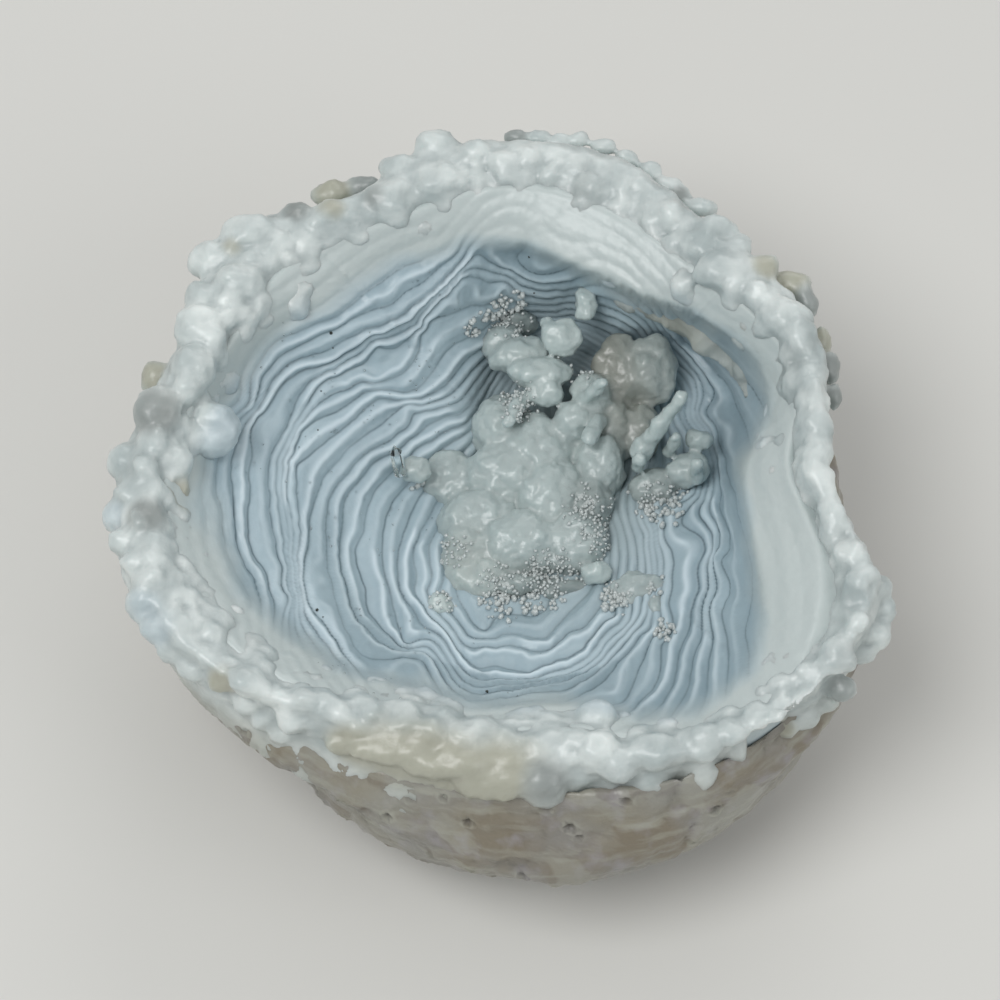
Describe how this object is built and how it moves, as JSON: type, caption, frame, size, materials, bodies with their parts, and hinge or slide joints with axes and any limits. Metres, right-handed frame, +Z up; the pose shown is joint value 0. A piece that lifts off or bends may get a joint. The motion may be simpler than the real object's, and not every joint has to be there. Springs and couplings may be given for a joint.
{
  "type": "chalcedony geode half",
  "caption": "Half geode of blue chalcedony: a thick, lumpy white-rimmed bowl, banded inside in blue terraces, with rounded knobs, fingers and quartz on its floor.",
  "frame": {"origin": "middle of the small flat spot that the geode rests on", "axes": "+Z up, the way the bowl opens; +X along its longest side, to the right as the picture shows it; +Y to the back"},
  "size_m": [0.0988, 0.0952, 0.0436],
  "materials": {
    "chalcedony": "waxy"
  },
  "bodies": {
    "root": {"geode": "chalcedony"}
  },
  "joints": []
}
